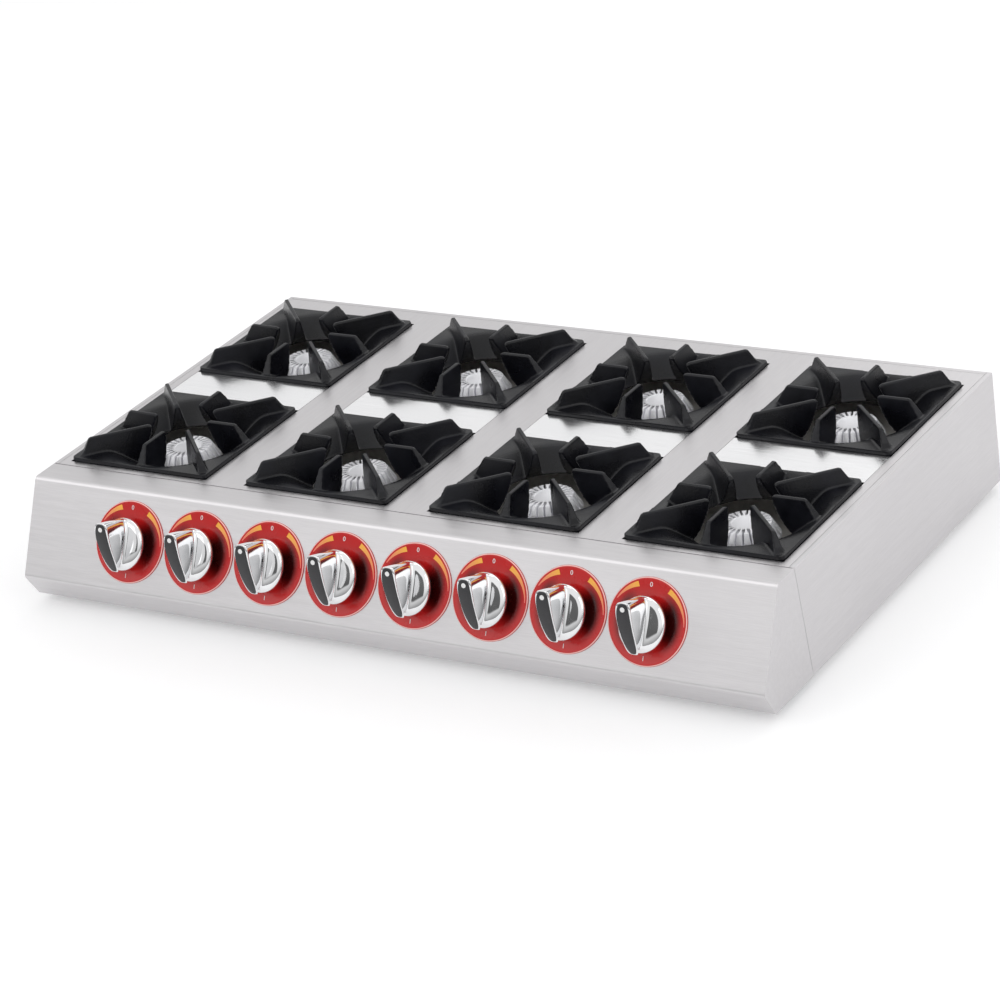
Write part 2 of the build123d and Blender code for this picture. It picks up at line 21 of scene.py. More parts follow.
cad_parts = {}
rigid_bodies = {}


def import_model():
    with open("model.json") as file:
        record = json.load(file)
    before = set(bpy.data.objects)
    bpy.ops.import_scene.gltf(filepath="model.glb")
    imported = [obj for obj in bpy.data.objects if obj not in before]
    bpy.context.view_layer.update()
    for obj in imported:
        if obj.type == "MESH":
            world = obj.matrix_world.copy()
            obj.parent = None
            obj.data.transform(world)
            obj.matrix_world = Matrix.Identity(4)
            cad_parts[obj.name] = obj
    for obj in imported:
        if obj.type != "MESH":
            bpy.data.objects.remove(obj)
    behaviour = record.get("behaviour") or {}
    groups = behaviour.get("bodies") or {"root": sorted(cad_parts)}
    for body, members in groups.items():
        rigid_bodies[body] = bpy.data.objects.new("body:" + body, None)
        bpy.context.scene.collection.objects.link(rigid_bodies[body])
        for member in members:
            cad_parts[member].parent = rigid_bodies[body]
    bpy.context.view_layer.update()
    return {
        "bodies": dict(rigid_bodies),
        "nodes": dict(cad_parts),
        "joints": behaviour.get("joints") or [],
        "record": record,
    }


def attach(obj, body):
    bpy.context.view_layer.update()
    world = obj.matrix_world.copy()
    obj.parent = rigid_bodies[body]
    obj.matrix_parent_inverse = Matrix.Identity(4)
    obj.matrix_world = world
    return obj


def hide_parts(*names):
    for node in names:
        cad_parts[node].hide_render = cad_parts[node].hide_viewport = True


log = logging.getLogger("gas_stove")

Point = tuple[float, float, float]
Colour = tuple[float, float, float]
Section = tuple[tuple[float, float], ...]
Span = tuple[float, float]
Piece = bpy.types.Object
Node = bpy.types.Node
Socket = bpy.types.NodeSocket
Tree = bpy.types.NodeTree
Material = bpy.types.Material


class Grain(Enum):
    """Direction in which a sheet was brushed."""

    ACROSS = (1.0, 0.0, 0.0)
    DEEP = (0.0, 1.0, 0.0)


# ---- places


@dataclass(frozen=True)
class StoveLayout:
    """Places that the sub-assemblies share."""

    seam_y: float = -0.217245
    top_z: float = 0.150
    columns: int = 4
    column_pitch: float = 0.255
    front_row: float = 0.110
    row_pitch: float = 0.268
    cup_top: float = 0.116
    knob_count: int = 8
    knob_pitch: float = 0.100
    face_middle_y: float = -0.0655
    face_middle_z: float = 0.096
    face_run: float = 0.055
    face_drop: float = 0.108

    def burner_axes(self) -> list[Span]:
        """Axis of each burner: the front row from the left, then the back row.

        Returns:
            A list of (x, y).
        """
        middle = (self.columns - 1) / 2
        places = []
        for row in range(2):
            y = self.seam_y + self.front_row + row * self.row_pitch
            places += [((c - middle) * self.column_pitch, y) for c in range(self.columns)]
        return places

    def knob_place(self, index: int) -> Matrix:
        """Frame of a knob on the sloping face.

        Args:
            index: Which knob, counted from the left.

        Returns:
            A matrix whose X runs along the stove, Y up the face and Z outward.
        """
        x = (index - (self.knob_count - 1) / 2) * self.knob_pitch
        lean = math.atan2(self.face_run, self.face_drop)
        frame = Matrix.Rotation(math.pi / 2 - lean, 4, "X")
        frame.translation = (x, self.seam_y + self.face_middle_y, self.face_middle_z)
        return frame


# ---- bench


class Bench:
    """Modelling moves that the sub-assemblies share, made with Blender's own tools."""

    @staticmethod
    def clear() -> None:
        """Deselect every object."""
        bpy.ops.object.select_all(action="DESELECT")

    @staticmethod
    def take(piece: Piece) -> None:
        """Make one object the only one selected, and the active one.

        Args:
            piece: The object.
        """
        Bench.clear()
        piece.select_set(True)
        bpy.context.view_layer.objects.active = piece

    @staticmethod
    def open(piece: Piece, mode: str = "VERT") -> None:
        """Enter edit mode on one object.

        Args:
            piece: The object to edit.
            mode: VERT, EDGE or FACE.
        """
        Bench.take(piece)
        bpy.ops.object.mode_set(mode="EDIT")
        bpy.ops.mesh.select_mode(type=mode)

    @staticmethod
    def merge() -> None:
        """Merge doubles all over the mesh, and leave everything selected."""
        Bench.everything()
        bpy.ops.mesh.remove_doubles(threshold=1e-6)
        Bench.everything()

    @staticmethod
    def close() -> Piece:
        """Merge doubles, turn the faces outward, leave edit mode and give the object back.

        Returns:
            The object that was edited.
        """
        Bench.merge()
        bpy.ops.mesh.normals_make_consistent(inside=False)
        bpy.ops.object.mode_set(mode="OBJECT")
        return bpy.context.object

    @staticmethod
    def everything() -> None:
        """Select the whole mesh in edit mode."""
        bpy.ops.mesh.select_all(action="SELECT")

    @staticmethod
    def extrude(step: Point) -> None:
        """Extrude what is selected by a step."""
        bpy.ops.mesh.extrude_region_move(TRANSFORM_OT_translate={"value": tuple(step)})

    @staticmethod
    def pick(kind: str, test: Callable[[Vector], bool]) -> None:
        """Select the edges or faces whose middle passes a test.

        Args:
            kind: edges or faces.
            test: Takes the element's middle and says whether it is wanted.
        """
        mesh = bmesh.from_edit_mesh(bpy.context.object.data)
        bpy.ops.mesh.select_all(action="DESELECT")
        for item in getattr(mesh, kind):
            middle = sum((vertex.co for vertex in item.verts), Vector()) / len(item.verts)
            if test(middle):
                item.select_set(True)
        mesh.select_flush_mode()
        bmesh.update_edit_mesh(bpy.context.object.data)

    @staticmethod
    def block(size: Point, middle: Point) -> Piece:
        """A box of a size about its middle, as the start of a piece.

        Args:
            size: Its three sides.
            middle: Its middle.

        Returns:
            The box.
        """
        Bench.clear()
        bpy.ops.mesh.primitive_cube_add(size=1.0, location=middle)
        bpy.context.object.scale = size
        bpy.ops.object.transform_apply(location=True, rotation=True, scale=True)
        return bpy.context.object

    @staticmethod
    def ring(count: int) -> Piece:
        """A ring of edges to loft from, open in edit mode and selected.

        Args:
            count: How many vertices it has.

        Returns:
            The object.
        """
        Bench.clear()
        bpy.ops.mesh.primitive_circle_add(vertices=count, radius=0.01, fill_type="NOTHING")
        Bench.open(bpy.context.object, "EDGE")
        Bench.everything()
        return bpy.context.object

    @staticmethod
    def trace(points: Sequence[Point]) -> None:
        """Draw a closed line of edges by extruding one vertex, and stay in edit mode.

        Args:
            points: The corners, in order.
        """
        Bench.clear()
        bpy.ops.mesh.primitive_plane_add(size=0.001, location=(0, 0, 0))
        bpy.ops.object.mode_set(mode="EDIT")
        bpy.ops.mesh.select_mode(type="VERT")
        Bench.everything()
        bpy.ops.mesh.merge(type="CENTER")
        Bench.everything()
        bpy.ops.transform.translate(value=points[0])
        last = Vector(points[0])
        for point in [*points[1:], points[0]]:
            Bench.extrude(Vector(point) - last)
            last = Vector(point)
        Bench.merge()

    @staticmethod
    def turned(points: Sequence[Span], steps: int) -> Piece:
        """Spin a closed section about Z.

        Args:
            points: Corners of the section as (radius, height).
            steps: Facets round the axis.

        Returns:
            The turned solid.
        """
        Bench.trace([(r, 0.0, z) for r, z in points])
        bpy.ops.mesh.spin(steps=steps, angle=2 * math.pi, center=(0, 0, 0), axis=(0, 0, 1))
        return Bench.close()

    @staticmethod
    def slab(points: Sequence[Point], thickness: Point) -> Piece:
        """Fill a closed outline and extrude it to a solid.

        Args:
            points: Corners of the outline.
            thickness: How far, and which way, it is extruded.

        Returns:
            The solid.
        """
        Bench.trace(points)
        bpy.ops.mesh.edge_face_add()
        Bench.extrude(thickness)
        return Bench.close()

    @staticmethod
    def turn(piece: Piece, angle: float) -> None:
        """Turn an object's mesh about Z, and leave the object unturned."""
        piece.data.transform(Matrix.Rotation(angle, 4, "Z"))

    @staticmethod
    def join(pieces: Sequence[Piece]) -> Piece:
        """Join several objects into the first.

        Args:
            pieces: The objects.

        Returns:
            The first, which holds them all.
        """
        Bench.clear()
        for piece in pieces:
            piece.select_set(True)
        bpy.context.view_layer.objects.active = pieces[0]
        bpy.ops.object.join()
        return pieces[0]

    @staticmethod
    def modify(piece: Piece, kind: str, **settings: object) -> None:
        """Add one modifier, set it and apply it.

        Args:
            piece: The object to change.
            kind: The modifier's type.
            settings: Its properties.
        """
        Bench.take(piece)
        modifier = piece.modifiers.new(kind.title(), kind)
        for name, value in settings.items():
            setattr(modifier, name, value)
        bpy.ops.object.modifier_apply(modifier=modifier.name)

    @staticmethod
    def bevel(piece: Piece, width: float, angle: float) -> None:
        """Round the edges sharper than an angle in radians."""
        Bench.modify(piece, "BEVEL", width=width, segments=2, limit_method="ANGLE", angle_limit=angle)

    @staticmethod
    def cut(piece: Piece, tool: Piece) -> None:
        """Cut one object away from another, and throw the tool away."""
        Bench.modify(piece, "BOOLEAN", operation="DIFFERENCE", object=tool, solver="EXACT")
        Bench.discard(tool)

    @staticmethod
    def discard(piece: Piece) -> None:
        """Delete an object and its mesh.

        Args:
            piece: The object.
        """
        mesh = piece.data
        bpy.data.objects.remove(piece)
        bpy.data.meshes.remove(mesh)

    @staticmethod
    def smooth(piece: Piece, angle: float) -> None:
        """Shade smooth, apart from edges sharper than an angle in degrees."""
        Bench.take(piece)
        bpy.ops.object.shade_smooth_by_angle(angle=math.radians(angle))

    @staticmethod
    def placed(pattern: Piece, name: str, place: Matrix) -> Piece:
        """Copy a finished pattern to its place, with its own mesh.

        Args:
            pattern: The modelled piece, about its own axis.
            name: Name of the copy.
            place: Where it goes, which is put into the mesh.

        Returns:
            The copy, with its object at the origin.
        """
        copy = pattern.copy()
        copy.data = pattern.data.copy()
        copy.data.transform(place)
        copy.name = copy.data.name = name
        bpy.context.scene.collection.objects.link(copy)
        return copy


# ---- effects


class Wiring:
    """Adds and joins the nodes of one tree."""

    def __init__(self, tree: Tree) -> None:
        """Start on an emptied tree.

        Args:
            tree: The tree.
        """
        self.tree = tree
        tree.nodes.clear()
        self.column = 0

    def add(self, kind: str, **settings: object) -> Node:
        """Add a node.

        Args:
            kind: Its type, as ShaderNodeMath.
            settings: Its properties.

        Returns:
            The node.
        """
        node = self.tree.nodes.new(kind)
        node.location = (self.column * 190, 0)
        self.column += 1
        for name, value in settings.items():
            setattr(node, name, value)
        return node

    def join(self, value: object, socket: Socket) -> None:
        """Link an output to an input, or give the input a plain value.

        Args:
            value: An output, or a number, vector or colour.
            socket: The input.
        """
        if isinstance(value, Socket):
            self.tree.links.new(value, socket)
        else:
            socket.default_value = value

    def feed(self, node: Node, **inputs: object) -> Node:
        """Give a node's inputs their values, or join them to another node's output.

        Args:
            node: The node.
            inputs: Values by input name, with underscores for spaces.

        Returns:
            The same node.
        """
        for name, value in inputs.items():
            self.join(value, node.inputs[name.replace("_", " ")])
        return node

    def fill(self, node: Node, *values: object) -> Node:
        """Give a node's first inputs their values, in order.

        Args:
            node: The node.
            values: Sockets or plain values.

        Returns:
            The same node.
        """
        for socket, value in zip(node.inputs, values):
            self.join(value, socket)
        return node

    def math(self, operation: str, *values: object) -> Socket:
        """Put one or two values through a Math node."""
        return self.fill(self.add("ShaderNodeMath", operation=operation), *values).outputs[0]

    def product(self, *values: object) -> Socket:
        """Multiply values, one after another."""
        return reduce(lambda first, second: self.math("MULTIPLY", first, second), values)

    def noise(self, vector: object, scale: object, detail: float = 3.0, roughness: float = 0.5) -> Socket:
        """Noise between 0 and 1 at a vector."""
        node = self.add("ShaderNodeTexNoise")
        return self.feed(node, Vector=vector, Scale=scale, Detail=detail, Roughness=roughness).outputs["Fac"]

    def stretch(self, vector: object, scale: Point) -> Socket:
        """Scale a vector along each axis."""
        return self.fill(self.add("ShaderNodeVectorMath", operation="MULTIPLY"), vector, scale).outputs[0]

    def ramp(
        self, value: object, low: float, high: float, start: float = 0.0, end: float = 1.0
    ) -> Socket:
        """Ease a value from start, where it is low, to end, where it is high."""
        node = self.add("ShaderNodeMapRange", interpolation_type="SMOOTHSTEP")
        return self.feed(node, Value=value, From_Min=low, From_Max=high, To_Min=start, To_Max=end).outputs[0]

    def blend(self, factor: object, first: object, second: object) -> Socket:
        """Mix two colours, each a socket or a plain colour.

        Args:
            factor: 0 for the first, 1 for the second.
            first: One colour.
            second: The other colour.

        Returns:
            The mixed colour.
        """
        node = self.add("ShaderNodeMix", data_type="RGBA")
        for index, value in ((0, factor), (6, first), (7, second)):
            self.join((*value, 1.0) if isinstance(value, tuple) else value, node.inputs[index])
        return node.outputs[2]


class EffectShelf:
    """Shader node groups that several finishes share, each built once."""

    broad_stretch: Point = (0.3, 0.12, 0.12)
    broad_streaks: float = 0.35
    scratch_height: float = 0.0004
    lump_scale: float = 60.0
    lump_height: float = 0.8
    pebble_height: float = 0.0005
    speckle_level: float = 0.55
    mark_edges: Span = (0.38, 0.66)
    grain_roughness: float = 0.55

    def __init__(self) -> None:
        """Build the groups."""
        self.brushing, self.casting, self.handling = self._brushing(), self._casting(), self._handling()

    def _group(
        self, name: str, inputs: dict[str, float], outputs: dict[str, str]
    ) -> tuple[Wiring, Node, Node]:
        """Make a group that takes a vector and some numbers.

        Args:
            name: The group's name.
            inputs: Name and starting value of each number.
            outputs: Name and kind, Float or Vector, of each output.

        Returns:
            The group's wiring, its input node and its output node.
        """
        tree = bpy.data.node_groups.new(name, "ShaderNodeTree")
        tree.interface.new_socket(name="Vector", in_out="INPUT", socket_type="NodeSocketVector")
        for label, value in inputs.items():
            socket = tree.interface.new_socket(name=label, in_out="INPUT", socket_type="NodeSocketFloat")
            socket.default_value = value
        for label, kind in outputs.items():
            tree.interface.new_socket(name=label, in_out="OUTPUT", socket_type=f"NodeSocket{kind}")
        wiring = Wiring(tree)
        return wiring, wiring.add("NodeGroupInput"), wiring.add("NodeGroupOutput")

    def _brushing(self) -> Tree:
        """Fine parallel scratches, as a streak value and a normal.

        Returns:
            The group.
        """
        wiring, start, end = self._group("Brushing", {"Depth": 0.05}, {"Streak": "Float", "Normal": "Vector"})
        place = start.outputs["Vector"]
        fine = wiring.noise(place, 1.0, 4.0, self.grain_roughness)
        broad = wiring.noise(wiring.stretch(place, self.broad_stretch), 1.0, 2.0, self.grain_roughness)
        fine_part = wiring.product(fine, 1.0 - self.broad_streaks)
        streak = wiring.math("ADD", fine_part, wiring.product(broad, self.broad_streaks))
        bump = wiring.add("ShaderNodeBump")
        wiring.feed(bump, Strength=start.outputs["Depth"], Distance=self.scratch_height, Height=fine)
        wiring.feed(end, Streak=streak, Normal=bump.outputs["Normal"])
        return wiring.tree

    def _casting(self) -> Tree:
        """The pebbled skin of a sand casting, as a speckle value and a normal.

        Returns:
            The group.
        """
        sizes = {"Size": 700.0, "Depth": 0.3}
        wiring, start, end = self._group("Cast skin", sizes, {"Speckle": "Float", "Normal": "Vector"})
        place = start.outputs["Vector"]
        fine = wiring.noise(place, start.outputs["Size"])
        broad = wiring.noise(place, self.lump_scale, roughness=self.grain_roughness)
        height = wiring.math("ADD", fine, wiring.product(broad, self.lump_height))
        bump = wiring.add("ShaderNodeBump")
        wiring.feed(bump, Strength=start.outputs["Depth"], Distance=self.pebble_height, Height=height)
        speckle = wiring.product(height, self.speckle_level)
        wiring.feed(end, Speckle=speckle, Normal=bump.outputs["Normal"])
        return wiring.tree

    def _handling(self) -> Tree:
        """Soft uneven marks that wiping and touching leave, as a mask.

        Returns:
            The group.
        """
        wiring, start, end = self._group("Handling", {"Size": 9.0}, {"Mask": "Float"})
        cloud = wiring.noise(start.outputs["Vector"], start.outputs["Size"], 4.0)
        wiring.feed(end, Mask=wiring.ramp(cloud, *self.mark_edges))
        return wiring.tree

    def place(self, wiring: Wiring, tree: Tree, **inputs: object) -> Node:
        """Put a group into a material with its own values."""
        node = wiring.add("ShaderNodeGroup", node_tree=tree)
        return wiring.feed(node, **inputs)


# ---- finishes


def _shader(name: str) -> tuple[Material, Wiring, Node, Socket]:
    """Start a material.

    Args:
        name: Its name.

    Returns:
        The material, its wiring, its Principled shader and its object coordinates.
    """
    material = bpy.data.materials.new(name)
    material.use_nodes = True
    wiring = Wiring(material.node_tree)
    shader = wiring.add("ShaderNodeBsdfPrincipled")
    wiring.feed(wiring.add("ShaderNodeOutputMaterial"), Surface=shader.outputs["BSDF"])
    return material, wiring, shader, wiring.add("ShaderNodeTexCoord").outputs["Object"]


@dataclass(frozen=True)
class BrushedSheet:
    """Stainless sheet with a brushed grain and faint handling marks."""

    name: str
    grain: Grain
    bright: Colour = (0.66, 0.646, 0.656)
    dark: Colour = (0.60, 0.586, 0.596)
    smooth: float = 0.30
    rough: float = 0.40
    depth: float = 0.06
    scale_along: float = 42.0
    scale_across: float = 1700.0
    streak_span: Span = (0.34, 0.66)
    rough_span: Span = (0.3, 0.7)
    marks_size: float = 7.0
    marks_rough: float = 0.05

    def material(self, shelf: EffectShelf) -> Material:
        """Build the finish.

        Args:
            shelf: Where the shared effects are.

        Returns:
            The material.
        """
        material, wiring, shader, place = _shader(self.name)
        scale = tuple(self.scale_along if axis else self.scale_across for axis in self.grain.value)
        brushed = shelf.place(wiring, shelf.brushing, Vector=wiring.stretch(place, scale), Depth=self.depth)
        marks = shelf.place(wiring, shelf.handling, Vector=place, Size=self.marks_size)
        streak = wiring.ramp(brushed.outputs["Streak"], *self.streak_span)
        wiring.feed(shader, Base_Color=wiring.blend(streak, self.dark, self.bright), Metallic=1.0)
        rough = wiring.ramp(brushed.outputs["Streak"], *self.rough_span, self.smooth, self.rough)
        worn = wiring.product(marks.outputs["Mask"], self.marks_rough)
        wiring.feed(shader, Roughness=wiring.math("ADD", rough, worn), Normal=brushed.outputs["Normal"])
        return material


@dataclass(frozen=True)
class CastMetal:
    """Cast metal with a pebbled skin, bare or under a thin enamel."""

    name: str
    colour: Colour
    light: Colour
    metallic: float
    rough_low: float
    rough_high: float
    size: float = 700.0
    depth: float = 0.3
    gloss: float = 0.5
    marks_size: float = 18.0
    speckle_span: Span = (0.32, 0.68)

    def material(self, shelf: EffectShelf) -> Material:
        """Build the finish.

        Args:
            shelf: Where the shared effects are.

        Returns:
            The material.
        """
        material, wiring, shader, place = _shader(self.name)
        skin = shelf.place(wiring, shelf.casting, Vector=place, Size=self.size, Depth=self.depth)
        marks = shelf.place(wiring, shelf.handling, Vector=place, Size=self.marks_size)
        speckle = wiring.ramp(skin.outputs["Speckle"], *self.speckle_span)
        tone = wiring.product(wiring.math("ADD", speckle, marks.outputs["Mask"]), 0.5)
        wiring.feed(shader, Base_Color=wiring.blend(tone, self.colour, self.light))
        wiring.feed(shader, Metallic=self.metallic, Specular_IOR_Level=self.gloss)
        rough = wiring.ramp(marks.outputs["Mask"], 0.0, 1.0, self.rough_low, self.rough_high)
        wiring.feed(shader, Roughness=rough, Normal=skin.outputs["Normal"])
        return material


@dataclass(frozen=True)
class PlainMetal:
    """Turned, drawn or plated metal with a soft variation over it."""

    name: str
    colour: Colour
    light: Colour
    rough_low: float
    rough_high: float
    size: float = 120.0

    def material(self, shelf: EffectShelf) -> Material:
        """Build the finish.

        Args:
            shelf: Where the shared effects are.

        Returns:
            The material.
        """
        material, wiring, shader, place = _shader(self.name)
        marks = shelf.place(wiring, shelf.handling, Vector=place, Size=self.size)
        mask = marks.outputs["Mask"]
        wiring.feed(shader, Base_Color=wiring.blend(mask, self.colour, self.light), Metallic=1.0)
        rough = wiring.ramp(mask, 0.0, 1.0, self.rough_low, self.rough_high)
        wiring.feed(shader, Roughness=rough)
        return material


@dataclass(frozen=True)
class MouldedPlastic:
    """Rubber or plastic with a fine moulded texture."""

    name: str
    colour: Colour
    light: Colour
    rough_low: float
    rough_high: float
    size: float = 900.0
    depth: float = 0.15
    speckle_span: Span = (0.3, 0.7)

    def material(self, shelf: EffectShelf) -> Material:
        """Build the finish.

        Args:
            shelf: Where the shared effects are.

        Returns:
            The material.
        """
        material, wiring, shader, place = _shader(self.name)
        skin = shelf.place(wiring, shelf.casting, Vector=place, Size=self.size, Depth=self.depth)
        speckle = wiring.ramp(skin.outputs["Speckle"], *self.speckle_span)
        wiring.feed(shader, Base_Color=wiring.blend(speckle, self.colour, self.light))
        rough = wiring.ramp(speckle, 0.0, 1.0, self.rough_low, self.rough_high)
        wiring.feed(shader, Roughness=rough, Normal=skin.outputs["Normal"])
        return material


@dataclass(frozen=True)
class PrintedDisc:
    """Red lacquered knob disc with two printed arcs and a painted shade round the knob, read from the disc's
    own UV map.
    """

    name: str = "knob_disc_red"
    red: Colour = (0.54, 0.014, 0.014)
    # painted shade: the near-black red that the disc darkens to next to the knob
    painted_shade_red: Colour = (0.028, 0.001, 0.001)
    rim: Colour = (0.94, 0.58, 0.54)
    yellow: Colour = (0.98, 0.50, 0.07)
    pink: Colour = (0.86, 0.20, 0.17)
    arc_outer: float = 0.93
    arc_thick: float = 0.125
    arc_thin: float = 0.02
    arcs: Section = ((-21.0, -62.0), (32.0, 90.0))
    # where the painted shade lies: how far out from the knob it reaches, and how it grows towards the disc's
    # left and right
    painted_shade_radii: Span = (0.68, 0.92)
    painted_shade_sides: Span = (0.35, 0.95)
    rim_in: Span = (0.968, 0.978)
    rim_out: Span = (0.990, 0.996)
    marks_size: float = 40.0
    rough_span: Span = (0.20, 0.30)

    def _arc(
        self, wiring: Wiring, angle: object, radius: object, thick_end: float, thin_end: float
    ) -> tuple[Socket, Socket]:
        """One tapering arc.

        Args:
            wiring: The material's wiring.
            angle: Angle from twelve o'clock, clockwise, in radians.
            radius: Distance from the middle, 1 at the disc's edge.
            thick_end: Angle of the arc's thick end, in degrees.
            thin_end: Angle of its thin end, in degrees.

        Returns:
            The arc's mask, and how far along it a point is from its thick end.
        """
        thick, thin = math.radians(thick_end), math.radians(thin_end)
        along = wiring.add("ShaderNodeMapRange")
        wiring.feed(along, Value=angle, From_Min=thick, From_Max=thin)
        t = along.outputs["Result"]
        width = wiring.math("ADD", self.arc_thick, wiring.product(t, self.arc_thin - self.arc_thick))
        inner = wiring.math("SUBTRACT", self.arc_outer, width)
        ring = [wiring.math("LESS_THAN", radius, self.arc_outer), wiring.math("GREATER_THAN", radius, inner)]
        low, high = sorted((thick, thin))
        reach = [wiring.math("GREATER_THAN", angle, low), wiring.math("LESS_THAN", angle, high)]
        return wiring.product(*ring, *reach), t

    def material(self, shelf: EffectShelf) -> Material:
        """Build the finish.

        Args:
            shelf: Where the shared effects are.

        Returns:
            The material.
        """
        material, wiring, shader, place = _shader(self.name)
        uv = wiring.add("ShaderNodeUVMap", uv_map="disc").outputs["UV"]
        split = wiring.add("ShaderNodeSeparateXYZ")
        wiring.feed(split, Vector=uv)
        x = wiring.math("SUBTRACT", split.outputs[0], 0.5)
        y = wiring.math("SUBTRACT", split.outputs[1], 0.5)
        square = wiring.math("ADD", wiring.product(x, x), wiring.product(y, y))
        radius = wiring.product(wiring.math("SQRT", square), 2.0)
        angle = wiring.math("ARCTAN2", x, y)
        # painted shade: the red darkens towards the knob, most at the disc's left and right
        side = wiring.math("ABSOLUTE", wiring.math("SINE", angle))
        middle = wiring.ramp(radius, *self.painted_shade_radii, 1.0, 0.0)
        painted_shade = wiring.product(middle, wiring.ramp(side, *self.painted_shade_sides))
        colour = wiring.blend(painted_shade, self.red, self.painted_shade_red)
        for thick_end, thin_end in self.arcs:
            mask, along = self._arc(wiring, angle, radius, thick_end, thin_end)
            colour = wiring.blend(mask, colour, wiring.blend(along, self.yellow, self.pink))
        outside = wiring.ramp(radius, *self.rim_out, 1.0, 0.0)
        edge = wiring.product(wiring.ramp(radius, *self.rim_in), outside)
        colour = wiring.blend(edge, colour, self.rim)
        marks = shelf.place(wiring, shelf.handling, Vector=place, Size=self.marks_size)
        wiring.feed(shader, Base_Color=colour, Coat_Weight=0.25, Coat_Roughness=0.08)
        rough = wiring.ramp(marks.outputs["Mask"], 0.0, 1.0, *self.rough_span)
        wiring.feed(shader, Specular_IOR_Level=0.28, Roughness=rough)
        return material


class FinishBook:
    """Every finish of the stove, each made once."""

    def __init__(self) -> None:
        """Make the materials."""
        shelf = EffectShelf()
        bright_strip, dark_strip = (0.93, 0.93, 0.94), (0.86, 0.86, 0.87)
        iron, iron_light = (0.0016, 0.0016, 0.0026), (0.0085, 0.009, 0.0135)
        finishes = [
            BrushedSheet("stainless_across", Grain.ACROSS),
            BrushedSheet("stainless_deep", Grain.DEEP),
            BrushedSheet("stainless_strip", Grain.ACROSS, bright_strip, dark_strip, 0.14, 0.24, 0.04),
            CastMetal("tray_steel", (0.66, 0.645, 0.61), (0.78, 0.76, 0.72), 0.25, 0.4, 0.55, 900.0, 0.05),
            CastMetal("cast_iron", iron, iron_light, 0.0, 0.26, 0.4, 620.0, 0.4, 0.3),
            CastMetal("burner_iron", (0.035, 0.033, 0.031), (0.085, 0.08, 0.074), 0.55, 0.5, 0.66, 520, 0.4),
            CastMetal("crown_aluminium", (0.8, 0.8, 0.83), (0.92, 0.92, 0.95), 0.35, 0.36, 0.5, 900.0, 0.12),
            PlainMetal("knob_chrome", (0.77, 0.775, 0.785), (0.83, 0.83, 0.84), 0.035, 0.07, 60.0),
            PlainMetal("valve_brass", (0.62, 0.42, 0.17), (0.76, 0.55, 0.26), 0.22, 0.38, 90.0),
            PlainMetal("pipe_steel", (0.30, 0.30, 0.31), (0.42, 0.42, 0.43), 0.34, 0.5, 50.0),
            PlainMetal("tube_aluminium", (0.66, 0.66, 0.67), (0.8, 0.8, 0.8), 0.28, 0.42, 70.0),
            PlainMetal("zinc_sheet", (0.46, 0.48, 0.50), (0.62, 0.64, 0.66), 0.34, 0.55, 45.0),
            PlainMetal("screw_steel", (0.55, 0.55, 0.56), (0.70, 0.70, 0.71), 0.26, 0.4, 200.0),
            MouldedPlastic("knob_insert", (0.012, 0.012, 0.014), (0.026, 0.026, 0.030), 0.36, 0.48),
            MouldedPlastic("foot_rubber", (0.012, 0.012, 0.012), (0.028, 0.028, 0.028), 0.6, 0.78, 500, 0.3),
            MouldedPlastic("printed_white", (0.80, 0.80, 0.80), (0.88, 0.88, 0.88), 0.32, 0.42, 1200.0, 0.03),
            PrintedDisc(),
        ]
        self.materials = {finish.name: finish.material(shelf) for finish in finishes}

    def dress(self, piece: Piece, finish: str) -> None:
        """Give a whole piece one finish.

        Args:
            piece: The piece.
            finish: The finish's name.
        """
        if not piece.material_slots:
            piece.data.materials.append(self.materials[finish])
        for slot in piece.material_slots:
            slot.material = self.materials[finish]


# ---- sub-assemblies


@dataclass
class SheetCasing:
    """The casing, the gas train and the other CAD nodes that keep their own shape."""

    finishes: FinishBook
    by_node: tuple[tuple[str, str], ...] = (
        ("front_panel", "stainless_across"),
        ("top_panel", "stainless_deep"),
        ("side_panel", "stainless_deep"),
        ("back_panel", "stainless_across"),
        ("bridge_strip", "stainless_strip"),
        ("burner_tray", "tray_steel"),
        ("base_plate", "zinc_sheet"),
        ("manifold_brackets", "zinc_sheet"),
        ("burner_body", "burner_iron"),
        ("gas_manifold", "pipe_steel"),
        ("supply_tubes", "tube_aluminium"),
        ("valve", "valve_brass"),
        ("injectors", "valve_brass"),
        ("feet", "foot_rubber"),
        ("panel_screws", "screw_steel"),
    )

    def dress(self, nodes: dict[str, Piece]) -> int:
        """Give each kept node its finish.

        Args:
            nodes: The CAD nodes by name.

        Returns:
            How many nodes were dressed.
        """
        count = 0
        for name, node in nodes.items():
            for start, finish in self.by_node:
                if name.startswith(start):
                    self.finishes.dress(node, finish)
                    count += 1
                    break
        return count


@dataclass
class Assembly:
    """What every modelled sub-assembly needs."""

    layout: StoveLayout
    finishes: FinishBook


